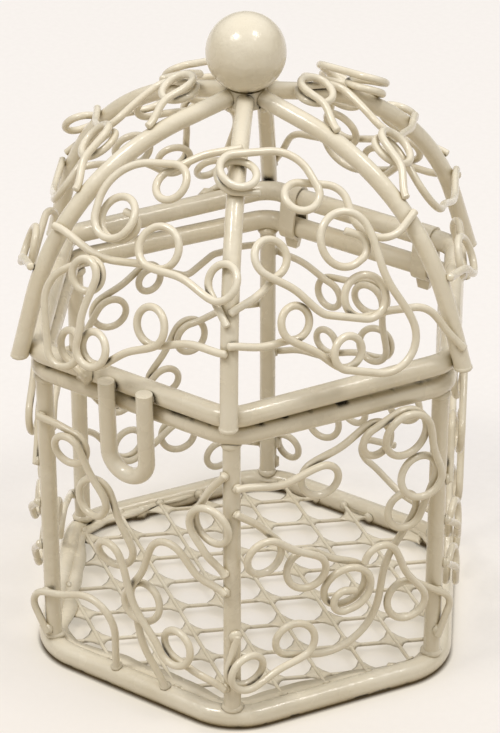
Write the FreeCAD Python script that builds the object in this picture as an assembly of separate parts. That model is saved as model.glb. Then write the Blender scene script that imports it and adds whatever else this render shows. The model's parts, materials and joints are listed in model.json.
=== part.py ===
"""Small hexagonal wire birdcage box: painted rod frame, scrolled wire panels, mesh floor, hinged domed lid.

Millimetres. The cage stands on z = 0 with its axis on Z. The front face, with the catch, looks along -Y
and the lid hinges on the back edge of the rim, at +Y. Corners of the hexagon lie at 0, 60, ... 300 degrees.
"""
import FreeCAD, Part
import math
import os
from collections import namedtuple

Vector = FreeCAD.Vector

# Rods and wires, by diameter
base_rod = 3.0
rim_rod = 2.8
lid_rod = 2.8
post_rod = 2.3
rib_rod = 2.3
scroll_wire = 1.0
floor_wire = 0.55
catch_rod = 2.2

# Rings: width across the flats of each ring's centre line, and how its corners are bent
base_flats = 54.0
rim_flats = 52.8
lid_flats = 53.8
rim_corner = 4.0
lid_corner = 4.0
base_foot_flat = 0.25

# Heights and the lid's dome
rim_height = 44.8
hinge_rise = 4.4
dome_height = 30.5
rib_foot_drop = 0.1
rib_lean = 17.0
crown_slope = 14.0
rib_bend = 30.0

# Crown and finial
crown_boss_diameter = 5.2
crown_boss_height = 2.4
stud_diameter = 2.4
stud_depth = 4.2
ball_diameter = 10.4
ball_seat = 4.4

# Floor mesh
mesh_pitch = 6.35
long_wire_angle = 43.0
cross_wire_angle = -35.0
long_wire_shift = -2.7
cross_wire_shift = 1.35
floor_edge = 1.8

# Hinge straps
strap_width = 2.4
strap_sheet = 0.45
strap_spacing = 22.0
strap_tail = 1.4
strap_tail_width = 1.6

# Front catch
catch_width = 6.0
catch_rise = 1.0
catch_drop = 13.2
catch_offset = 1.0

# Fits
weld_sink = 0.1
hinge_play = 0.08
rest_play = 0.15
scroll_gap = 0.35

# Derived places
COS30 = math.cos(math.radians(30))
TAN30 = math.tan(math.radians(30))
CORNERS = {"right": 0, "back_right": 60, "back_left": 120, "left": 180, "front_left": 240, "front_right": 300}
FACES = {"front": 270, "front_right": 330, "back_right": 30, "back": 90, "back_left": 150, "front_left": 210}


def corner_reach(flats, corner):
    """Distance from the axis to the centre line at a ring's bent corner."""
    return flats / 2 / COS30 - corner * (1 / COS30 - 1)


base_z = base_rod / 2 - base_foot_flat
post_reach = corner_reach(rim_flats, rim_corner)
base_corner = (base_flats / 2 / COS30 - post_reach) / (1 / COS30 - 1)
rim_y = rim_flats / 2
lid_y = lid_flats / 2
lid_z = rim_height + hinge_rise
crown_height = lid_z + dome_height

# At the back the straps hold the lid ring off the rim ring, and at the front it lies on the rim ring
front_reach = math.hypot(rim_y + lid_y, hinge_rise)
front_rest = (rim_rod + lid_rod) / 2 + rest_play
front_angle = math.acos((front_reach ** 2 + rim_flats ** 2 - front_rest ** 2) / (2 * front_reach * rim_flats))
lid_tilt = math.degrees(math.atan2(hinge_rise, rim_y + lid_y) - front_angle)

lean = math.radians(rib_lean)
slope = math.radians(crown_slope)
lid_reach = corner_reach(lid_flats, lid_corner)
rib_reach = lid_reach + (lid_rod / 2 + rib_rod / 2 - weld_sink) / math.cos(lean)
scroll_layer = scroll_wire + scroll_gap


def polar(radius, degrees, z=0.0):
    angle = math.radians(degrees)
    return Vector(radius * math.cos(angle), radius * math.sin(angle), z)


def sweep(edges, diameter, closed=False):
    """Round rod along tangent lines and arcs. Its volume is compared with section times length."""
    path = Part.Wire(edges)
    start = path.Edges[0]
    if closed:
        point, along = start.valueAt(start.FirstParameter), start.tangentAt(start.FirstParameter)
    else:
        ends = path.OrderedVertexes
        point = ends[0].Point
        along = path.OrderedEdges[0].tangentAt(path.OrderedEdges[0].FirstParameter)
    section = Part.Wire([Part.makeCircle(diameter / 2, point, along)])
    rod = path.makePipeShell([section], True, False)
    if rod.Volume < 0:
        rod.reverse()
    expected = math.pi * diameter ** 2 / 4 * path.Length
    if not rod.isValid() or abs(rod.Volume / expected - 1) > 0.02:
        print("sweep differs from section times length:", rod.isValid(), rod.Volume / expected)
    return rod


def hexagon_ring(flats, corner, rod, z):
    """Closed hexagonal ring of round rod with bent corners."""
    tangent = corner * TAN30
    reach = flats / 2 / COS30
    bends = []
    for k in range(6):
        here = polar(reach, 60 * k, z)
        before = here + (polar(reach, 60 * k - 60, z) - here).normalize() * tangent
        after = here + (polar(reach, 60 * k + 60, z) - here).normalize() * tangent
        bends.append((before, polar(corner_reach(flats, corner), 60 * k, z), after))
    edges = []
    for k in range(6):
        before, middle, after = bends[k]
        edges.append(Part.Arc(before, middle, after).toShape())
        edges.append(Part.LineSegment(after, bends[(k + 1) % 6][0]).toShape())
    return sweep(edges, rod, closed=True)


def base_ring():
    """Heavy bottom ring, worn and painted to a narrow flat where it stands."""
    ring = hexagon_ring(base_flats, base_corner, base_rod, base_z)
    corner = Vector(-base_flats, -base_flats, -base_rod)
    ground = Part.makeBox(2 * base_flats, 2 * base_flats, base_rod, corner)
    return ring.cut(ground)


def post(degrees):
    """Upright between the base ring and the rim ring, sunk into both welds."""
    foot = base_z + base_rod / 2 - weld_sink
    head = rim_height - rim_rod / 2 + weld_sink
    return Part.makeCylinder(post_rod / 2, head - foot, polar(post_reach, degrees, foot))


# Rib profile, as radius and height: a leaning foot, one bend and a sloping crown
crest_radius = (rib_reach - math.tan(lean) * (crown_height - lid_z)) / (1 - math.tan(lean) * math.tan(slope))
crest_z = crown_height - math.tan(slope) * crest_radius
bend_turn = math.pi / 2 - lean - slope
bend_tangent = rib_bend * math.tan(bend_turn / 2)
foot_length = (crest_z - lid_z) / math.cos(lean) - bend_tangent
bend_length = rib_bend * bend_turn
crown_length = crest_radius / math.cos(slope) - bend_tangent
rib_length = foot_length + bend_length + crown_length


def rib_at(along):
    """Radius, height and direction angle of the rib's centre line at a length above the lid ring."""
    if along <= foot_length:
        return rib_reach - along * math.sin(lean), lid_z + along * math.cos(lean), math.pi / 2 + lean
    bend_r = rib_reach - foot_length * math.sin(lean) - rib_bend * math.cos(lean)
    bend_z = lid_z + foot_length * math.cos(lean) - rib_bend * math.sin(lean)
    turned = min((along - foot_length) / rib_bend, bend_turn)
    radius = bend_r + rib_bend * math.cos(lean + turned)
    z = bend_z + rib_bend * math.sin(lean + turned)
    rest = max(along - foot_length - bend_length, 0)
    return radius - rest * math.cos(slope), z + rest * math.sin(slope), math.pi / 2 + lean + turned


def rib(degrees):
    """Dome rib. Its foot, cut level, is welded outside the lid ring's corner, its top into the crown boss."""
    def place(along):
        radius, z, _ = rib_at(along)
        return polar(radius, degrees, z)
    below = -rib_rod
    top = rib_length - (crown_boss_diameter / 2 - weld_sink) / math.cos(slope)
    bend_start, bend_end = foot_length, foot_length + bend_length
    edges = [
        Part.LineSegment(place(below), place(bend_start)).toShape(),
        Part.Arc(place(bend_start), place((bend_start + bend_end) / 2), place(bend_end)).toShape(),
        Part.LineSegment(place(bend_end), place(top)).toShape(),
    ]
    under = Part.makeCylinder(lid_flats, lid_flats, Vector(0, 0, lid_z - rib_foot_drop - lid_flats))
    return sweep(edges, rib_rod).cut(under)


# Crown boss top is level with the tops of the ribs that end on it
rib_top_z = crown_height - crown_boss_diameter / 2 * math.tan(slope) + rib_rod / 2 / math.cos(slope)
ball_z = rib_top_z + math.sqrt(ball_diameter ** 2 - ball_seat ** 2) / 2


def crown_stud():
    """Boss that gathers the six ribs, with a stud that goes up into the ball."""
    below = Vector(0, 0, rib_top_z - crown_boss_height)
    boss = Part.makeCylinder(crown_boss_diameter / 2, crown_boss_height, below)
    stud = Part.makeCylinder(stud_diameter / 2, stud_depth, Vector(0, 0, rib_top_z))
    return boss.fuse(stud).removeSplitter()


def finial_ball():
    """Ball with a flat seat on the boss and a blind hole for the stud."""
    ball = Part.makeSphere(ball_diameter / 2, Vector(0, 0, ball_z))
    below = Part.makeCylinder(ball_diameter, ball_diameter, Vector(0, 0, rib_top_z - ball_diameter))
    hole = Part.makeCylinder(stud_diameter / 2, stud_depth, Vector(0, 0, rib_top_z))
    return ball.cut(below).cut(hole)


def floor_wires(angle, shift, z):
    """Parallel mesh wires. Their ends are sunk into welds on the inside of the base ring."""
    along = polar(1, angle)
    across = polar(1, angle + 90)
    ring = hexagon_ring(base_flats, base_corner, base_rod - 2 * weld_sink, base_z)
    widest = post_reach - base_rod / 2 - floor_edge
    wires = []
    count = int(base_flats / mesh_pitch)
    for k in range(-count, count + 1):
        offset = shift + k * mesh_pitch
        if abs(offset) > widest:
            continue
        low = -math.sqrt(post_reach ** 2 - offset ** 2)
        high = -low
        for degrees in FACES.values():
            normal = polar(1, degrees)
            rate = normal.dot(along)
            limit = (base_flats / 2 - normal.dot(across) * offset) / rate if abs(rate) > 1e-6 else math.inf
            if rate > 0:
                high = min(high, limit)
            else:
                low = max(low, limit)
        start = along * low + across * offset + Vector(0, 0, z)
        wires += Part.makeCylinder(floor_wire / 2, high - low, start, along).cut(ring).Solids
    return Part.makeCompound(wires)


def around_two_circles(first, first_radius, second, second_radius, x):
    """Face in the plane of a given x, shaped like a band pulled round two circles in Y and Z."""
    gap = second - first
    heading = math.atan2(gap.z, gap.y)
    tilt = math.acos((first_radius - second_radius) / gap.Length)

    def point(centre, radius, angle):
        return Vector(x, centre.y + radius * math.cos(angle), centre.z + radius * math.sin(angle))
    a, b = point(first, first_radius, heading + tilt), point(first, first_radius, heading - tilt)
    c, d = point(second, second_radius, heading - tilt), point(second, second_radius, heading + tilt)
    edges = [
        Part.Arc(a, point(first, first_radius, heading + math.pi), b).toShape(),
        Part.LineSegment(b, c).toShape(),
        Part.Arc(c, point(second, second_radius, heading), d).toShape(),
        Part.LineSegment(d, a).toShape(),
    ]
    return Part.Face(Part.Wire(edges))


def hinge_strap(side):
    """Sheet strap closed round both rods, tight on the lid ring and free on the rim ring, with a tail."""
    left = side * strap_spacing / 2 - strap_width / 2
    rim_rod_centre, lid_rod_centre = Vector(0, rim_y, rim_height), Vector(0, lid_y, lid_z)
    free, tight = rim_rod / 2 + hinge_play, lid_rod / 2 - weld_sink
    outer_free, outer_tight = free + strap_sheet, tight + strap_sheet
    outside = around_two_circles(rim_rod_centre, outer_free, lid_rod_centre, outer_tight, left)
    inside = around_two_circles(rim_rod_centre, free, lid_rod_centre, tight, left)
    width = Vector(strap_width, 0, 0)
    band = outside.extrude(width).cut(inside.extrude(width))
    top = rim_height - free - strap_sheet / 2
    bottom = rim_height - free - strap_sheet - strap_tail
    taper = (strap_width - strap_tail_width) / 2
    back = rim_y - strap_sheet
    right = left + strap_width
    corners = [(left, top), (right, top), (right - taper, bottom), (left + taper, bottom)]
    outline = [Vector(x, back, z) for x, z in corners]
    tail = Part.Face(Part.makePolygon(outline + outline[:1])).extrude(Vector(0, 2 * strap_sheet, 0))
    return band.fuse(tail).removeSplitter()


def front_catch():
    """U of rod welded on the front of the lid ring. Its round end hangs over the rim ring."""
    leg_y = -lid_y - lid_rod / 2 - catch_rod / 2 + weld_sink
    bow = catch_width / 2
    top_z = lid_z + catch_rise
    bow_z = lid_z - catch_drop + catch_rod / 2 + bow
    left, right = catch_offset - bow, catch_offset + bow
    left_bend, right_bend = Vector(left, leg_y, bow_z), Vector(right, leg_y, bow_z)
    bottom = Vector(catch_offset, leg_y, bow_z - bow)
    edges = [
        Part.LineSegment(Vector(left, leg_y, top_z), left_bend).toShape(),
        Part.Arc(left_bend, bottom, right_bend).toShape(),
        Part.LineSegment(right_bend, Vector(right, leg_y, top_z)).toShape(),
    ]
    return sweep(edges, catch_rod)


# Scroll wires. Each is bent round a row of pegs. A peg has its place across the panel (-1 and 1 are the two
# rods at its sides) and up it (0 and 1 are its lower and upper edge), the bend's radius in millimetres
# (anticlockwise from outside if positive, 0 for an end), whether it is a closed loop (1) or only a bend (0),
# and the layer that it leaves in.
Peg = namedtuple("Peg", "across up radius loop layer")
Panel = namedtuple("Panel", "place half_width low high")

# The lid ring stands inside the ribs, so a wire that ends on the ring dips under the first layer
foot_inset = rib_reach * COS30 - lid_y
foot_normal = math.cos(lean) / math.hypot(math.cos(lean), math.sin(lean) * COS30)
ring_contact = lid_rod / 2 + scroll_wire / 2 - weld_sink
foot_depth = foot_inset * foot_normal
ring_offset = math.sqrt(foot_depth ** 2 - foot_inset ** 2 + ring_contact ** 2) - foot_depth
rib_offset = rib_rod / 2 + scroll_wire / 2 - weld_sink
ON_RING = (ring_offset - rib_offset) / scroll_layer

BODY_FRONT = {
    "upper": [Peg(-1.0, 0.87, 0, 0, 0), Peg(-0.62, 0.80, -2.2, 1, 1), Peg(-0.375, 0.65, -2.5, 1, 0),
              Peg(-0.135, 0.48, -2.2, 1, 2), Peg(0.57, 0.222, 2.4, 1, 1), Peg(1.0, 0.09, 0, 0, 0)],
    "middle": [Peg(1.0, 0.90, 0, 0, 0), Peg(0.88, 0.71, 2.8, 1, 1), Peg(1.0, 0.53, 0, 0, 0)],
    "inner": [Peg(0.34, 0.0, 0, 0, 0), Peg(0.15, 0.32, -2.6, 1, 1), Peg(0.46, 0.525, -3.0, 0, 1),
              Peg(1.0, 0.46, 0, 0, 0)],
    "lower": [Peg(-1.0, 0.03, 0, 0, 0), Peg(-0.99, 0.135, -2.2, 0, 0), Peg(-0.52, 0.125, -4.6, 0, 0),
              Peg(-0.21, 0.0, 0, 0, 0)],
}
BODY_FRONT_RIGHT = {
    "upper": [Peg(-1.0, 0.76, 0, 0, 0), Peg(-0.757, 0.59, -2.6, 1, 1), Peg(-0.362, 0.498, -2.6, 1, 0),
              Peg(0.03, 0.40, -3.2, 1, 1.2), Peg(-0.01, 0.358, -1.6, 0, 1.2), Peg(0.09, 0.39, 0, 0, 1.2)],
    "middle": [Peg(0.19, 0.48, 0, 0, 1), Peg(0.35, 0.47, -2.4, 0, 1), Peg(0.63, 0.28, -2.6, 1, 0),
               Peg(0.97, 0.21, -2.1, 0, 0), Peg(1.0, 0.09, 0, 0, 0)],
    "lower": [Peg(-1.0, 0.30, 0, 0, 0), Peg(-0.93, 0.17, 2.5, 1, 1), Peg(-0.46, 0.24, 2.6, 1, 0),
              Peg(-0.12, 0.33, 7.5, 0, 0), Peg(0.58, 0.63, 2.3, 1, 1), Peg(0.69, 0.765, 2.8, 1, 2),
              Peg(0.545, 0.935, 3.2, 1, 1), Peg(0.30, 0.92, 2.2, 1, 0), Peg(-0.237, 0.825, 2.4, 1, 1),
              Peg(-1.0, 0.85, 0, 0, 0)],
}
BODY_BACK = {
    "upper": [Peg(1.0, 0.90, 0, 0, 0), Peg(0.39, 0.785, 2.2, 1, 1), Peg(-0.08, 0.815, 2.4, 1, 0),
              Peg(-0.14, 0.64, 2.4, 1, 1), Peg(0.41, 0.585, 2.0, 1, 0), Peg(1.0, 0.49, 0, 0, 0)],
    "middle": [Peg(-1.0, 0.56, 0, 0, 0), Peg(-0.50, 0.43, -2.2, 1, 1), Peg(0.09, 0.35, -2.3, 1, 0),
               Peg(0.42, 0.25, -2.3, 1, 1), Peg(0.86, 0.10, -2.1, 1, 0), Peg(1.0, 0.02, 0, 0, 0)],
    "lower": [Peg(-1.0, 0.04, 0, 0, 0), Peg(-0.18, 0.21, 2.0, 0, 0), Peg(-0.42, 0.27, 0, 0, 0)],
}
BODY_SIDE = {
    "upper": [Peg(-1.0, 0.92, 0, 0, 0), Peg(-0.51, 0.87, -2.1, 0, 0), Peg(-0.18, 0.91, 1.9, 0, 0),
              Peg(0.18, 0.87, -1.9, 1, 1), Peg(0.60, 0.77, -2.4, 1, 0), Peg(1.0, 0.67, 0, 0, 0)],
    "middle": [Peg(-1.0, 0.685, 0, 0, 0), Peg(-0.24, 0.605, -2.4, 1, 1), Peg(0.05, 0.45, -2.2, 1, 0),
               Peg(0.55, 0.43, 2.3, 1, 1), Peg(1.0, 0.525, 0, 0, 0)],
    "lower": [Peg(-1.0, 0.10, 0, 0, 0), Peg(-0.547, 0.09, -2.3, 1, 1), Peg(-0.09, 0.21, -2.4, 1, 0),
              Peg(0.44, 0.22, 2.4, 1, 1), Peg(1.0, 0.36, 0, 0, 0)],
}
LID_FRONT = {
    "upper": [Peg(1.13, 0.74, 0, 0, 0), Peg(0.11, 0.573, 2.3, 0, 1), Peg(-0.10, 0.48, 6.2, 0, 1),
              Peg(-0.365, 0.445, 2.8, 1, -0.2), Peg(-0.255, 0.434, 1.5, 0, -0.2),
              Peg(-0.345, 0.467, 0, 0, -0.2)],
    "middle": [Peg(-1.02, 0.375, 0, 0, 0), Peg(0.24, 0.405, 2.6, 1, 1), Peg(1.0, 0.37, 2.3, 1, 0),
               Peg(1.04, 0.27, 0, 0, 0)],
    "lower": [Peg(-0.34, 0.0, 0, 0, ON_RING), Peg(-0.50, 0.074, -2.2, 1, 1), Peg(-0.46, 0.20, -4.6, 0, 1),
              Peg(-0.38, 0.287, -1.9, 1, 2), Peg(-0.17, 0.112, 2.2, 1, 1), Peg(0.305, 0.21, 2.4, 1, 0),
              Peg(1.03, 0.20, 0, 0, 0)],
}
LID_SIDE = {
    "upper": [Peg(-0.70, 0.588, 0, 0, 0), Peg(-1.05, 0.65, -2.4, 1, 1.1), Peg(-0.50, 0.585, -4.9, 0, 1.1),
              Peg(-0.155, 0.548, -2.1, 1, 0), Peg(0.13, 0.51, -2.9, 0, 0), Peg(0.72, 0.475, 4.0, 0, 0),
              Peg(1.05, 0.44, 0, 0, 0)],
    "middle": [Peg(-1.04, 0.30, 0, 0, 0), Peg(-0.64, 0.41, 2.3, 1, 1), Peg(-0.10, 0.30, 3.0, 0, 1),
               Peg(0.22, 0.262, 2.6, 1, 0), Peg(0.60, 0.12, -4.0, 0, 0), Peg(1.0, 0.06, 0, 0, 0)],
    "lower": [Peg(-1.05, 0.22, 0, 0, 0), Peg(-0.457, 0.24, 2.1, 1, 1), Peg(-0.053, 0.142, 2.1, 1, 2),
              Peg(0.27, 0.155, 4.3, 0, 2), Peg(0.13, 0.41, 3.2, 1, 1), Peg(0.23, 0.386, 1.6, 0, 1),
              Peg(0.19, 0.43, 0, 0, 1)],
}
LID_EDGE = {
    "upper": [Peg(-1.06, 0.47, 0, 0, 0), Peg(-0.40, 0.575, 3.0, 0, 0), Peg(-0.38, 0.735, -2.8, 0, 0),
              Peg(-0.10, 0.80, -2.4, 1, 1), Peg(1.04, 0.72, 0, 0, 0)],
    "middle": [Peg(-1.04, 0.245, 0, 0, 0), Peg(0.10, 0.40, 4.0, 0, 0), Peg(0.40, 0.55, -2.5, 1, 1),
               Peg(1.03, 0.48, 0, 0, 0)],
    "lower": [Peg(-0.40, 0.0, 0, 0, ON_RING), Peg(-0.25, 0.15, -2.6, 0, 0), Peg(0.30, 0.19, 2.4, 1, 1),
              Peg(1.03, 0.25, 0, 0, 0)],
}
# Which pattern each face wears, and whether it is turned over left to right
BODY_PATTERNS = {
    "front": (BODY_FRONT, 1), "front_right": (BODY_FRONT_RIGHT, 1), "back_right": (BODY_SIDE, -1),
    "back": (BODY_BACK, 1), "back_left": (BODY_SIDE, 1), "front_left": (BODY_SIDE, 1),
}
LID_PATTERNS = {
    "front": (LID_FRONT, 1), "front_right": (LID_SIDE, 1), "back_right": (LID_EDGE, -1),
    "back": (LID_SIDE, 1), "back_left": (LID_FRONT, 1), "front_left": (LID_EDGE, 1),
}


def body_panel(face):
    """Flat panel outside the posts of one face, from the base ring up to the rim ring."""
    outward, sideways = polar(1, FACES[face]), polar(1, FACES[face] + 90)
    plane = post_reach * COS30 + post_rod / 2 + scroll_wire / 2 - weld_sink

    def place(across, up, depth):
        return outward * (plane + depth) + sideways * across + Vector(0, 0, up)
    low = base_z + base_rod / 2 - weld_sink
    high = rim_height - rim_rod / 2 + weld_sink
    return Panel(place, lambda up: post_reach / 2, low, high)


def lid_panel(face):
    """Curved panel outside the ribs of one face. Its height is measured along the ribs."""
    outward, sideways = polar(1, FACES[face]), polar(1, FACES[face] + 90)

    def place(across, up, depth):
        radius, z, heading = rib_at(up)
        normal = Vector(0, 0, -math.cos(heading) * COS30) + outward * math.sin(heading)
        on_ribs = outward * (radius * COS30) + sideways * across + Vector(0, 0, z)
        return on_ribs + normal.normalize() * (rib_offset + depth)
    return Panel(place, lambda up: rib_at(up)[0] / 2, 0.0, rib_length)


Run = namedtuple("Run", "length spans at")
widest_lap = math.radians(250)
level_share = 0.4
bow_share = 0.12
bow_free = 5.0
least_bow = 0.1
longest_span = 6.0
least_run = 0.02
tangent_step = 1e-4


def straight_run(start, end, depth, end_depth, side):
    """Stretch between two tangent points, a long one a little bowed to one side by hand bending.

    A wire's last stretch comes back to its rod near its end.
    """
    length = math.dist(start, end)
    bow = side * bow_share * max(length - bow_free, 0)
    way = ((end[0] - start[0]) / length, (end[1] - start[1]) / length)

    def at(t):
        late = max((t - level_share) / (1 - level_share), 0)
        ease = late * late * (3 - 2 * late)
        out = bow * math.sin(math.pi * t) ** 2
        place = (start[0] + way[0] * length * t - way[1] * out, start[1] + way[1] * length * t + way[0] * out)
        return place + (depth + (end_depth - depth) * ease,)
    return Run(length, 4 if abs(bow) > least_bow else 1, at)


def bent_run(centre, radius, heading, turn, depth, end_depth):
    """Bend round a peg. The radius is signed, the turn is positive, the depth changes where it is single."""
    sense = math.copysign(1, radius)
    doubled = max(turn - 2 * math.pi, 0)

    def at(t):
        single = min(max((turn * t - doubled) / (turn - 2 * doubled), 0), 1)
        ease = single * single * (3 - 2 * single)
        angle = heading + sense * turn * t
        place = (centre[0] + radius * math.sin(angle), centre[1] - radius * math.cos(angle))
        return place + (depth + (end_depth - depth) * ease,)
    return Run(abs(radius) * turn, math.ceil(turn / (math.pi / 2) - 0.01), at)


def wire_runs(pegs, panel, flip):
    """Straight and bent runs of a scroll wire, in millimetres on its panel, joined at tangents."""
    spots = []
    for peg in pegs:
        up = panel.low + peg.up * (panel.high - panel.low)
        spots.append((flip * peg.across * panel.half_width(up), up))
    radii = [flip * peg.radius for peg in pegs]
    headings = []
    for k in range(len(pegs) - 1):
        (x, y), (to_x, to_y) = spots[k], spots[k + 1]
        lean_over = (radii[k + 1] - radii[k]) / math.dist(spots[k], spots[k + 1])
        headings.append(math.atan2(to_y - y, to_x - x) - math.asin(lean_over))

    def tangent_point(k, heading):
        return (spots[k][0] + radii[k] * math.sin(heading), spots[k][1] - radii[k] * math.cos(heading))
    runs = []
    depth = pegs[0].layer * scroll_layer
    last = len(pegs) - 1
    for k, heading in enumerate(headings):
        if k > 0:
            turn = (heading - headings[k - 1]) * math.copysign(1, radii[k]) % (2 * math.pi)
            if pegs[k].loop and turn < widest_lap:
                turn += 2 * math.pi
            new_depth = pegs[k].layer * scroll_layer
            runs.append(bent_run(spots[k], radii[k], headings[k - 1], turn, depth, new_depth))
            depth = new_depth
        end_depth = pegs[last].layer * scroll_layer if k == last - 1 else depth
        side = math.copysign(1, radii[k] or -radii[k + 1])
        run_ends = tangent_point(k, heading), tangent_point(k + 1, heading)
        runs.append(straight_run(*run_ends, depth, end_depth, side))
    return runs


def arc_edge(start, corner, end):
    """Arc that leaves its start and reaches its end along the lines to one corner point."""
    middle = (start + end) * 0.5
    rise = corner - middle
    half_chord = (end - start).Length / 2
    if rise.Length < 1e-5 * half_chord:
        return Part.LineSegment(start, end).toShape()
    half_turn = math.atan2(rise.Length, half_chord)
    return Part.Arc(start, middle + rise.normalize() * (half_chord * math.tan(half_turn / 2)), end).toShape()


def biarc(start, start_way, end, end_way):
    """Two tangent arcs in space between two points with given directions."""
    chord = end - start
    both = start_way + end_way
    swing = 2 * (1 - start_way.dot(end_way))
    if swing < 1e-9:
        reach = chord.dot(chord) / (4 * chord.dot(end_way))
    else:
        reach = (math.sqrt(chord.dot(both) ** 2 + swing * chord.dot(chord)) - chord.dot(both)) / swing
    first, second = start + start_way * reach, end - end_way * reach
    joint = (first + second) * 0.5
    return [arc_edge(start, first, joint), arc_edge(joint, second, end)]


def scroll_stations(runs, panel):
    """Points and directions along a scroll wire, at least one in each quarter turn."""
    stations = []
    for run in runs:
        if run.length < least_run:
            continue
        spans = max(run.spans, math.ceil(run.length / longest_span))
        first = 0 if not stations else 1
        for k in range(first, spans + 1):
            t = k / spans
            before, after = max(t - tangent_step, 0), min(t + tangent_step, 1)
            way = panel.place(*run.at(after)) - panel.place(*run.at(before))
            stations.append((panel.place(*run.at(t)), way.normalize()))
    return stations


def least_gap(edges):
    """Least gap between parts of one wire that are not neighbours along it."""
    points, passed = [], []
    walked = 0.0
    for edge in edges:
        count = max(2, math.ceil(edge.Length / 0.5))
        for k in range(count):
            points.append(edge.valueAt(edge.getParameterByLength(edge.Length * k / count)))
            passed.append(walked + edge.Length * k / count)
        walked += edge.Length
    near = 4 * scroll_wire
    least = math.inf
    for i, point in enumerate(points):
        for j in range(i + 1, len(points)):
            if passed[j] - passed[i] > near:
                least = min(least, point.distanceToPoint(points[j]))
    return least - scroll_wire


def scroll(name, pegs, panel, flip):
    stations = scroll_stations(wire_runs(pegs, panel, flip), panel)
    edges = []
    for (start, start_way), (end, end_way) in zip(stations, stations[1:]):
        edges += biarc(start, start_way, end, end_way)
    length = sum(edge.Length for edge in edges)
    print(name, "length", round(length, 1), "least gap", round(least_gap(edges), 2))
    return sweep(edges, scroll_wire)


def settled(shape):
    """Lid piece at rest. The lid is drawn level and turned on the hinge until its front lies on the rim."""
    return shape.rotated(Vector(0, rim_y, rim_height), Vector(1, 0, 0), lid_tilt)


def build():
    """Every piece by name."""
    cage = {
        "base_ring": base_ring(),
        "rim_ring": hexagon_ring(rim_flats, rim_corner, rim_rod, rim_height),
    }
    cross_z = base_z + floor_wire - weld_sink / 2
    cage["floor_long_wires"] = floor_wires(long_wire_angle, long_wire_shift, base_z)
    cage["floor_cross_wires"] = floor_wires(cross_wire_angle, cross_wire_shift, cross_z)
    lid = {
        "lid_ring": hexagon_ring(lid_flats, lid_corner, lid_rod, lid_z),
        "crown_stud": crown_stud(),
        "finial_ball": finial_ball(),
        "front_catch": front_catch(),
        "hinge_strap_right": hinge_strap(1),
        "hinge_strap_left": hinge_strap(-1),
    }
    for corner, degrees in CORNERS.items():
        cage["post_" + corner] = post(degrees)
        lid["rib_" + corner] = rib(degrees)
    for face in FACES:
        for pieces, part, patterns, panel in ((cage, "body", BODY_PATTERNS, body_panel(face)),
                                              (lid, "lid", LID_PATTERNS, lid_panel(face))):
            pattern, flip = patterns[face]
            for tier, pegs in pattern.items():
                name = f"{part}_scroll_{face}_{tier}"
                pieces[name] = scroll(name, pegs, panel, flip)
    return cage | {name: settled(shape) for name, shape in lid.items()}


os.makedirs("parts", exist_ok=True)
for name, shape in build().items():
    shape.exportStep(f"parts/{name}.step")
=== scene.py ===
# %% [markdown]
# # A small wire birdcage, painted ivory
# The real object is a hexagonal cage of steel rod with a domed lid, bent wire scrolls in every panel and a
# mesh floor, all welded together and then painted. The solids come ready made in the frame, so this lesson
# adds what a welder and a painter leave behind: the lumps at the joints, the paint that gathers on the wire
# ends, in the mesh and along the base ring, and the enamel itself.

import json
import math
import random

import bmesh
import bpy
from mathutils import Matrix, Vector
from mathutils.bvhtree import BVHTree
from mathutils.geometry import intersect_ray_tri


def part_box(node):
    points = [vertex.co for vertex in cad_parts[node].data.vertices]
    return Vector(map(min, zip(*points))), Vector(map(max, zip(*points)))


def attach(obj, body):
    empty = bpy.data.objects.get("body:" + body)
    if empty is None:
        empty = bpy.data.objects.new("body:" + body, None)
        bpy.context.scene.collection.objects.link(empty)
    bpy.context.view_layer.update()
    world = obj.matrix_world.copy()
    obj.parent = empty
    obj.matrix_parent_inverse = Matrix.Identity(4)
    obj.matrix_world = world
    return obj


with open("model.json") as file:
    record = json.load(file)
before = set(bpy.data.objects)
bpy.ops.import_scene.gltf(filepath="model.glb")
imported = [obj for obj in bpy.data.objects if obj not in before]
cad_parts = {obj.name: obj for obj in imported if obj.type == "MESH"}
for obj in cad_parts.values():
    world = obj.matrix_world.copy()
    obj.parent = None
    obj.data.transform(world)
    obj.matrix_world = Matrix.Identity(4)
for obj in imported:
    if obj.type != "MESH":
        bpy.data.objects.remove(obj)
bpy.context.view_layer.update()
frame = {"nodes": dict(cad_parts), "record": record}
nodes = frame["nodes"]
bodies = frame["record"]["behaviour"]["bodies"]
mm = 0.001

# %% [markdown]
# ## The camera
# A long lens keeps the uprights of a small object nearly parallel. The camera stands well back, about
# thirty degrees above the table and a little to the right of the catch, and looks at the middle of the
# cage.

# %% Place the camera


def aim(thing, target):
    """Turns a camera or a lamp to look at a point."""
    thing.rotation_euler = (Vector(target) - thing.location).to_track_quat("-Z", "Y").to_euler()


camera = bpy.data.objects.new("table_camera", bpy.data.cameras.new("table_camera"))
bpy.context.scene.collection.objects.link(camera)
camera.data.sensor_width = 36
camera.data.lens = 145.4
camera.location = (0.1981, -0.2862, 0.2356)
aim(camera, (-0.00011, -0.00008, 0.03761))
bpy.context.scene.camera = camera
print("camera distance in mm", round(camera.location.length / mm))

# %% [markdown]
# ## Shares and tones
# Card, sky and paint are all mixed in the same way: a share from 0 to 1 chooses between two colours. The
# share may come from a noise, from the tightness of a corner, or from a climb along one axis. Each material
# could have its nodes wired one by one, but with a few small helpers it reads as a short list of layers.

# %% Make the mixing helpers


def shader_of(material):
    material.use_nodes = True
    return material.node_tree, material.node_tree.nodes["Principled BSDF"]


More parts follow.
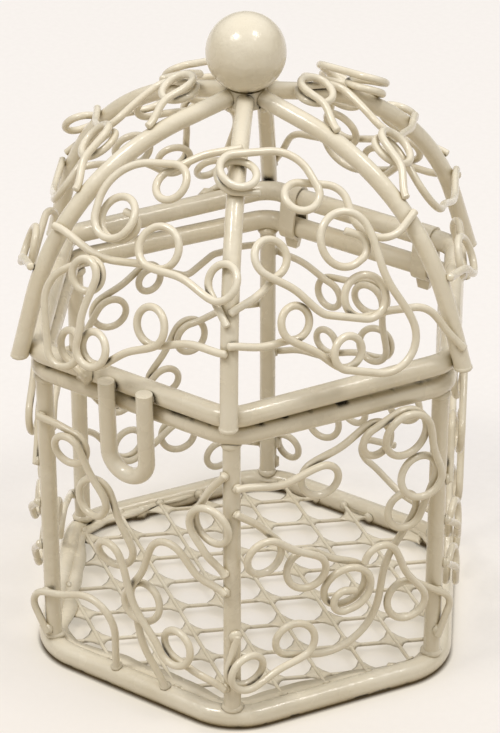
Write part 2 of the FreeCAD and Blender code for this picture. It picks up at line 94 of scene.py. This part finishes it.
def spread(tree, value, start, end, low=0.0, high=1.0, curve="LINEAR"):
    """Takes a value from between two ends to between two others, and holds it there."""
    node = tree.nodes.new("ShaderNodeMapRange")
    node.interpolation_type = curve
    node.inputs["From Min"].default_value = start
    node.inputs["From Max"].default_value = end
    node.inputs["To Min"].default_value = low
    node.inputs["To Max"].default_value = high
    tree.links.new(value, node.inputs["Value"])
    return node.outputs["Result"]


def along(tree, kind, axis):
    """The place along one axis, in the chosen coordinates."""
    place = tree.nodes.new("ShaderNodeTexCoord")
    split = tree.nodes.new("ShaderNodeSeparateXYZ")
    tree.links.new(place.outputs[kind], split.inputs["Vector"])
    return split.outputs[axis]


def mottle(tree, scale, detail, low=0.0, high=1.0):
    """A noise on Object coordinates, spread between two values."""
    place = tree.nodes.new("ShaderNodeTexCoord")
    noise = tree.nodes.new("ShaderNodeTexNoise")
    noise.inputs["Scale"].default_value = scale
    noise.inputs["Detail"].default_value = detail
    tree.links.new(place.outputs["Object"], noise.inputs["Vector"])
    return spread(tree, noise.outputs["Fac"], 0.3, 0.7, low, high)


def openness(tree, reach, closed, free):
    """A share that is 0 in a tight corner and 1 on an open surface."""
    corner = tree.nodes.new("ShaderNodeAmbientOcclusion")
    corner.samples = 8
    corner.inputs["Distance"].default_value = reach
    return spread(tree, corner.outputs["AO"], closed, free)


def joined(tree, operation, first, second):
    """The sum, difference or product of two shares. A share may be a socket."""
    sums = tree.nodes.new("ShaderNodeMath")
    sums.operation = operation
    sums.use_clamp = True
    for socket, share in ((sums.inputs[0], first), (sums.inputs[1], second)):
        if isinstance(share, float):
            socket.default_value = share
        else:
            tree.links.new(share, socket)
    return sums.outputs["Value"]


def two_tone(tree, share, first, second):
    """Mixes two colours by a share from 0 to 1. A colour may be a socket."""
    mix = tree.nodes.new("ShaderNodeMix")
    mix.data_type = "RGBA"
    tree.links.new(share, mix.inputs["Factor"])
    for socket, colour in ((mix.inputs["A"], first), (mix.inputs["B"], second)):
        if isinstance(colour, tuple):
            socket.default_value = (*colour, 1)
        else:
            tree.links.new(colour, socket)
    return mix.outputs["Result"]


print("mixing helpers", [helper.__name__ for helper in (spread, along, mottle, openness, joined, two_tone)])

# %% [markdown]
# ## The table top
# The cage stands on a plain pale sheet. Its colour is a warm white with a very faint mottling, as on card.
# Painted shade is mixed into it: a little darker and warmer at the front, a warmer painted shadow round the
# cage, and a painted contact shadow, nearly black, where a rod touches it. A white sheet would throw so much
# light back up that the undersides of the rods would lose their shade, so only the camera and mirror-like
# rays see it at full brightness, and it lights the cage as a duller sheet would.

# %% Mix the card
card_pale, card_grain = (0.467, 0.45, 0.44), (0.477, 0.46, 0.45)
# Painted shade: a darker, warmer front, a painted shadow round the cage and a painted contact shadow under
# each rod.
card_front_shade = (0.452, 0.425, 0.398)
card_shaded = (0.485, 0.45, 0.385)
card_contact_shadow = (0.05, 0.035, 0.018)
card_bounce = (0.51, 0.44, 0.32)
front_edge, back_edge = -110 * mm, 50 * mm
shade_reach, contact_shadow_reach = 30 * mm, 0.9 * mm
card_glow = 0.94

card = bpy.data.materials.new("table_card")
tree, shader = shader_of(card)
pale = two_tone(tree, mottle(tree, scale=900, detail=4), card_pale, card_grain)
# Painted shade: darker towards the front, in a wide shadow round the cage, and nearly black where a rod
# touches.
depth = spread(tree, along(tree, "Object", "Y"), front_edge, back_edge, curve="SMOOTHSTEP")
pale = two_tone(tree, depth, card_front_shade, pale)
pale = two_tone(tree, openness(tree, shade_reach, closed=0.35, free=0.95), card_shaded, pale)
pale = two_tone(tree, openness(tree, contact_shadow_reach, closed=0.4, free=0.85), card_contact_shadow, pale)
path = tree.nodes.new("ShaderNodeLightPath")
seen = joined(tree, "ADD", path.outputs["Is Camera Ray"], path.outputs["Is Glossy Ray"])
seen = joined(tree, "ADD", seen, path.outputs["Is Transmission Ray"])
tree.links.new(two_tone(tree, seen, card_bounce, pale), shader.inputs["Base Color"])
tree.links.new(pale, shader.inputs["Emission Color"])
tree.links.new(joined(tree, "MULTIPLY", seen, card_glow), shader.inputs["Emission Strength"])
shader.inputs["Roughness"].default_value = 0.8
shader.inputs["Specular IOR Level"].default_value = 0.2
print("card mixed from", len(tree.nodes), "nodes")

# %% [markdown]
# ## The sheet itself
# One large flat face is enough, because the camera looks down on it and never sees its rim. The same helper
# that makes an object of it will make one of each new piece of the cage.

# %% Lay the table top


def object_of(name, shape):
    """Turns a finished bmesh into a smooth object in the scene."""
    mesh = bpy.data.meshes.new(name)
    shape.to_mesh(mesh)
    shape.free()
    mesh.shade_smooth()
    made = bpy.data.objects.new(name, mesh)
    bpy.context.scene.collection.objects.link(made)
    return made


shape = bmesh.new()
bmesh.ops.create_grid(shape, x_segments=1, y_segments=1, size=3)
table = object_of("table_top", shape)
table.data.materials.append(card)
print("table top", tuple(table.dimensions))

# %% [markdown]
# ## The light
# Gloss paint needs something small and bright to mirror, and the shadows need to stay soft. So most of the
# light comes from a pale sky that is brighter and whiter overhead than at the horizon, which shades and
# warms the sides of every rod. Two lamps high on the camera's side give the two sparks on the ball. They
# stand a metre off, and their places are given along the camera's own axes: right, up and back.

# %% Light the scene
horizon_light, zenith_light = 0.12, 1.0
horizon_tint, zenith_tint = (1.0, 0.93, 0.79), (1.0, 0.98, 0.96)
lamp_size = 0.2
lamp_tint = (1.0, 0.97, 0.92)


def lamp(name, place, power):
    """A square lamp that shines on the middle of the cage."""
    light = bpy.data.lights.new(name, "AREA")
    light.size = lamp_size
    light.energy = power
    light.color = lamp_tint
    made = bpy.data.objects.new(name, light)
    bpy.context.scene.collection.objects.link(made)
    made.location = place
    aim(made, (0, 0, 0.04))
    made.visible_camera = False
    return made


sky = bpy.data.worlds.new("pale_sky")
bpy.context.scene.world = sky
sky.use_nodes = True
tree = sky.node_tree
glow = tree.nodes["Background"].inputs
height = along(tree, "Generated", "Z")
light = spread(tree, height, 0.0, 1.0, horizon_light, zenith_light, curve="SMOOTHSTEP")
tree.links.new(light, glow["Strength"])
tree.links.new(two_tone(tree, height, horizon_tint, zenith_tint), glow["Color"])
bpy.context.scene.view_settings.view_transform = "Standard"

turn = camera.rotation_euler.to_matrix()
left_lamp = lamp("left_lamp", turn @ Vector((-0.409, 0.636, 0.653)), power=2.5)
right_lamp = lamp("right_lamp", turn @ Vector((0.358, 0.715, 0.600)), power=1.9)
print("lamps at", [tuple(round(v, 2) for v in x.location) for x in (left_lamp, right_lamp)])

# %% [markdown]
# ## The ivory enamel
# The cage was sprayed with a thick gloss enamel. Close up, such a coat has a slight orange peel, is
# yellower in some patches, and varies in gloss. The corners between two rods get painted shade, a darker
# olive, and in a few specks there the spray misses the steel. An Ambient Occlusion node finds those corners
# on any shape. One helper mixes it all, so that rods, scrolls and mesh look alike, with corners to the scale
# of each.

# %% Mix the enamel
pale_ivory = (0.87, 0.815, 0.69)
deep_ivory = (0.81, 0.74, 0.59)
# Painted shade: the olive that darkens the corners between rods.
painted_corner_shade = (0.48, 0.40, 0.24)
bare_steel = (0.035, 0.028, 0.018)
peel_depth = 0.01 * mm


def bump(tree, shader, height, depth):
    """Adds a relief to a shader, on top of those it has."""
    lift = tree.nodes.new("ShaderNodeBump")
    lift.inputs["Strength"].default_value = 1.0
    lift.inputs["Distance"].default_value = depth
    tree.links.new(height, lift.inputs["Height"])
    below = shader.inputs["Normal"]
    if below.links:
        tree.links.new(below.links[0].from_socket, lift.inputs["Normal"])
    tree.links.new(lift.outputs["Normal"], below)


def enamel(name, lump_depth, corner_shade_reach):
    """The gloss paint, with lumps of a given depth and painted shade in corners of a given reach."""
    made = bpy.data.materials.new(name)
    tree, shader = shader_of(made)
    tone = two_tone(tree, mottle(tree, scale=130, detail=3), pale_ivory, deep_ivory)
    open_share = openness(tree, corner_shade_reach, closed=0.25, free=0.85)
    # Painted shade: tight corners are darkened towards olive.
    tone = two_tone(tree, open_share, painted_corner_shade, tone)
    hidden = joined(tree, "SUBTRACT", 0.75, open_share)
    missed = joined(tree, "MULTIPLY", hidden, mottle(tree, scale=330, detail=2, low=-4.9, high=3.9))
    tone = two_tone(tree, missed, tone, bare_steel)
    tree.links.new(tone, shader.inputs["Base Color"])
    tree.links.new(mottle(tree, scale=420, detail=3, low=0.16, high=0.32), shader.inputs["Roughness"])
    bump(tree, shader, mottle(tree, scale=2600, detail=2), peel_depth)
    bump(tree, shader, mottle(tree, scale=480, detail=2), lump_depth)
    shader.inputs["Coat Weight"].default_value = 0.5
    shader.inputs["Coat Roughness"].default_value = 0.12
    return made


rod_enamel = enamel("rod_enamel", lump_depth=0.06 * mm, corner_shade_reach=1.6 * mm)
scroll_enamel = enamel("scroll_enamel", lump_depth=0.06 * mm, corner_shade_reach=1.3 * mm)
mesh_enamel = enamel("mesh_enamel", lump_depth=0.04 * mm, corner_shade_reach=0.5 * mm)

for name, node in nodes.items():
    coat = rod_enamel
    if "scroll" in name:
        coat = scroll_enamel
    if "floor" in name:
        coat = mesh_enamel
    node.data.materials.clear()
    node.data.materials.append(coat)
print("painted", len(nodes))

# %% [markdown]
# ## The welds
# Wherever two rods meet, the real cage has a small lump of weld, rounded off by the paint that gathered
# there. Each contact could be placed by hand, but the record already lists the pieces that sink into each
# other, so the meshes themselves can say where: two trees of faces report every pair of faces that cut each
# other, the edges of such a pair give the points of the cut, and one contact is one bunch of points.

# %% Find the contacts
contact_size = 2.8 * mm
seats = ("base_ring", "rim_ring", "lid_ring", "crown_stud", "post", "rib", "floor_long", "front_catch", "")
trees = {}
shelf = bpy.context.evaluated_depsgraph_get()


def faces_of(name):
    """The search tree of a node's faces, made once."""
    if name not in trees:
        trees[name] = BVHTree.FromObject(nodes[name], shelf)
    return trees[name]


def corners_of(name, index):
    shape = nodes[name].data
    return [shape.vertices[k].co for k in shape.polygons[index].vertices]


def cut_points(first, second):
    """Points where the edges of two triangles pass through each other."""
    points = []
    for sides, other in ((first, second), (second, first)):
        for start, end in zip(sides, sides[1:] + sides[:1]):
            hit = intersect_ray_tri(*other, end - start, start)
            if hit and (hit - start).length <= (end - start).length:
                points.append(hit)
    return points


def seat_rank(name):
    """How early a piece stands in the list of seats, which is from heavy to light."""
    return next(rank for rank, word in enumerate(seats) if name.startswith(word))


def contacts_of(seat, wire):
    """Bunches of cut points of two pieces, each with the sum of the seat's normals there."""
    bunches = []
    for first, second in sorted(faces_of(seat).overlap(faces_of(wire))):
        for point in cut_points(corners_of(seat, first), corners_of(wire, second)):
            near = [bunch for bunch in bunches if (bunch[0][0] - point).length < contact_size]
            if not near:
                near = [([], Vector())]
                bunches += near
            near[0][0].append(point)
            near[0][1].xyz += nodes[seat].data.polygons[first].normal
    return bunches


contacts = []
for pair in frame["record"]["behaviour"]["press_fits"]:
    seat, wire = sorted(pair, key=seat_rank)
    if "hinge" in seat + wire or "finial" in seat + wire:
        continue
    for spots, normal in contacts_of(seat, wire):
        contacts.append((seat, wire, spots, normal.normalized()))
print("contacts", len(contacts))

# %% [markdown]
# ## The weld lumps
# A weld lump is a flat drop squeezed between two rods, so a ball pressed flat along the contact's normal
# shows all round as a soft fillet. It is a little wider than the contact, by as much as the weld flowed. A
# seeded random generator makes no two alike. The lumps of each body are one piece. The floor has webs of
# its own later.

# %% Lay the weld lumps
rod_flow, wire_flow = 0.3 * mm, 0.22 * mm
least_reach, most_reach = 0.6 * mm, 1.3 * mm
lump_flatness = 0.55
lump_lift = 0.1 * mm
chance = random.Random(5)


def pressed(middle, way, sizes):
    """The matrix that shapes a unit ball, turns its third axis along a direction and moves it into place."""
    turned = way.to_track_quat("Z", "Y").to_matrix().to_4x4()
    return Matrix.Translation(middle) @ turned @ Matrix.Diagonal((*sizes, 1))


lumps = {body: bmesh.new() for body in bodies}
for seat, wire, spots, normal in contacts:
    if seat.startswith("floor"):
        continue
    middle = sum(spots, Vector()) / len(spots)
    reach = max((spot - middle - normal * (spot - middle).dot(normal)).length for spot in spots)
    heavy = wire.startswith(("post", "rib", "front"))
    flow = (rod_flow if heavy else wire_flow) * chance.uniform(0.7, 1.3)
    wide = min(max(reach, least_reach), most_reach) + flow
    sizes = (wide * chance.uniform(0.9, 1.1), wide * chance.uniform(0.9, 1.1), lump_flatness * wide)
    place = pressed(middle + normal * lump_lift, normal, sizes)
    body = next(name for name, held in bodies.items() if wire in held)
    bmesh.ops.create_icosphere(lumps[body], subdivisions=2 if heavy else 1, radius=1, matrix=place)

for body, shape in lumps.items():
    count = len(shape.faces)
    piece = object_of(body + "_weld_lumps", shape)
    piece.data.materials.append(rod_enamel)
    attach(piece, body)
    print(piece.name, count, "faces")

# %% [markdown]
# ## The wire ends
# A cut wire has a sharp rim, but on the cage every end wears a drop of paint. The rim could be bevelled, if
# the solids were ours to change. Instead the sharp edges of each wire are looked up in a merged copy of its
# mesh, the edges of one rim are bunched together, and a ball pressed flat against the cut rounds it off.

# %% Round the wire ends
merge_reach = 0.002 * mm
sharp_angle = 1.2
rim_reach = 2.6 * mm
tip_width, tip_depth = 1.07, 0.5


def cut_ends(name):
    """Middle, direction and radius of each cut end of a rod or wire."""
    copy = bmesh.new()
    copy.from_mesh(nodes[name].data)
    bmesh.ops.remove_doubles(copy, verts=copy.verts, dist=merge_reach)
    rims = []
    for edge in copy.edges:
        if len(edge.link_faces) != 2 or edge.calc_face_angle() < sharp_angle:
            continue
        spot = (edge.verts[0].co + edge.verts[1].co) / 2
        near = [rim for rim in rims if (rim[0] - spot).length < rim_reach]
        if near:
            near[0].append(spot)
        else:
            rims.append([spot])
    copy.free()
    ends = []
    for rim in rims:
        middle = sum(rim, Vector()) / len(rim)
        third = len(rim) // 3
        way = (rim[0] - middle).cross(rim[third] - middle)
        if way.length > 0:
            ends.append((middle, way.normalized(), max((spot - middle).length for spot in rim)))
    return ends


for body, held in bodies.items():
    tips = bmesh.new()
    count = 0
    for name in held:
        if "scroll" not in name and not name.startswith("rib"):
            continue
        for middle, way, radius in cut_ends(name):
            place = pressed(middle, way, (tip_width * radius, tip_width * radius, tip_depth * radius))
            bmesh.ops.create_icosphere(tips, subdivisions=2, radius=1, matrix=place)
            count += 1
    piece = object_of(body + "_wire_tips", tips)
    piece.data.materials.append(scroll_enamel)
    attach(piece, body)
    print(piece.name, count, "tips")

# %% [markdown]
# ## The paint webs of the floor
# Thick paint does not stop at a crossing of two thin wires. It draws out along both, so every cell of the
# mesh gets rounded corners. The two sets of wires are evenly spaced, so each crossing lies where two
# families of lines meet, and only those inside the base ring count.

# %% Find the crossings of the floor
mesh_pitch = 6.35 * mm
long_angle, cross_angle = math.radians(43), math.radians(-35)
long_way = Vector((math.cos(long_angle), math.sin(long_angle), 0))
cross_way = Vector((math.cos(cross_angle), math.sin(cross_angle), 0))
long_start, cross_start = -2.7 * mm, 1.35 * mm
long_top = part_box("floor_long_wires")[1][2]
cross_low, cross_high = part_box("floor_cross_wires")
meet_height = (long_top + cross_low[2]) / 2
skew = long_way.cross(cross_way).z
ring_inside = 25.0 * mm
line_numbers = range(-5, 6)


def crossing(first, second):
    """The place where a long wire and a cross wire meet, from the numbers of their lines."""
    off_long = long_start + first * mesh_pitch
    off_cross = cross_start + second * mesh_pitch
    place = (long_way * off_cross - cross_way * off_long) / -skew
    place.z = meet_height
    return place


def inside_ring(place):
    sides = [math.radians(60 * k + 30) for k in range(6)]
    return max(place.x * math.cos(side) + place.y * math.sin(side) for side in sides) < ring_inside


crossings = [crossing(first, second) for first in line_numbers for second in line_numbers]
crossings = [middle for middle in crossings if inside_ring(middle)]
print("crossings", len(crossings))

# %% [markdown]
# ## The shape of a web
# Each web starts as a ball of a few faces. Its sides are pulled in between the wires to a star with hollow
# sides, and its arms are laid along them, at different heights, as the two wires are. Laying them out turns
# the ball inside out, so its normals are worked out anew.

# %% Draw the paint webs
web_arm, web_height = 2.9 * mm, 0.34 * mm
step_up = Vector((0, 0, (cross_high[2] - long_top) / 2))

webs = bmesh.new()
for middle in crossings:
    made = bmesh.ops.create_uvsphere(webs, u_segments=16, v_segments=4, radius=1)["verts"]
    arm = web_arm * chance.uniform(0.85, 1.05)
    for vert in made:
        reach = math.hypot(vert.co.x, vert.co.y)
        around = math.atan2(vert.co.y, vert.co.x)
        x, y = reach * math.cos(around) ** 3, reach * math.sin(around) ** 3
        climb = step_up * (abs(y) - abs(x))
        rise = Vector((0, 0, web_height * vert.co.z))
        vert.co = middle + long_way * (x * arm) + cross_way * (y * arm) + climb + rise
bmesh.ops.recalc_face_normals(webs, faces=webs.faces)
count = len(webs.faces)
web_piece = object_of("floor_paint_webs", webs)
web_piece.data.materials.append(mesh_enamel)
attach(web_piece, "cage")
print("paint webs", count, "faces")

# %% [markdown]
# ## The paint along the base ring
# Where the mesh meets the base ring, the paint has run together to a pale ledge with a wavy edge, widest at
# the front. A ring of vertices pushed out to a hexagon lies hidden in the rod, its edges are extruded
# inwards to the wavy edge, and a solidify gives the ledge its thickness. Sines with seeded phases make the
# waves.

# %% Run the paint ledge
ledge_out = 26.2 * mm
ledge_width = 2.6 * mm
side_share, front_share = 0.55, 0.45
ledge_height = meet_height + 0.25 * mm
ledge_drop = 0.3 * mm
ledge_thickness = 0.45 * mm
corner_ease = 1.11
full_turn = 6.28
wave_sizes = {3: 0.35 * mm, 7: 0.3 * mm, 13: 0.25 * mm, 23: 0.15 * mm}
waves = [(chance.uniform(0, full_turn), turns, size) for turns, size in wave_sizes.items()]


def hexagon_reach(around, half_flats):
    """Distance from the axis to a hexagon's side, eased at the corners."""
    from_side = around % math.radians(60) - math.radians(30)
    return min(half_flats / math.cos(from_side), half_flats * corner_ease)


ledge = bmesh.new()
rim = bmesh.ops.create_circle(ledge, segments=180, radius=1)["verts"]
for vert in rim:
    around = math.atan2(vert.co.y, vert.co.x)
    vert.co = vert.co.normalized() * hexagon_reach(around, ledge_out) + Vector((0, 0, ledge_height))
drawn = bmesh.ops.extrude_edge_only(ledge, edges=ledge.edges[:])["geom"]
for vert in [part for part in drawn if isinstance(part, bmesh.types.BMVert)]:
    around = math.atan2(vert.co.y, vert.co.x)
    wave = sum(size * math.sin(turns * around + phase) for phase, turns, size in waves)
    wide = ledge_width * (side_share - front_share * math.sin(around)) + wave
    flat = Vector((vert.co.x, vert.co.y, 0))
    vert.co = flat * (1 - wide / flat.length) + Vector((0, 0, ledge_height - ledge_drop))
bmesh.ops.recalc_face_normals(ledge, faces=ledge.faces)
bmesh.ops.solidify(ledge, geom=ledge.faces[:], thickness=ledge_thickness)
bmesh.ops.recalc_face_normals(ledge, faces=ledge.faces)
ledge_piece = object_of("base_paint_ledge", ledge)
ledge_piece.data.materials.append(mesh_enamel)
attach(ledge_piece, "cage")
print("paint ledge", [round(side / mm, 1) for side in ledge_piece.dimensions])
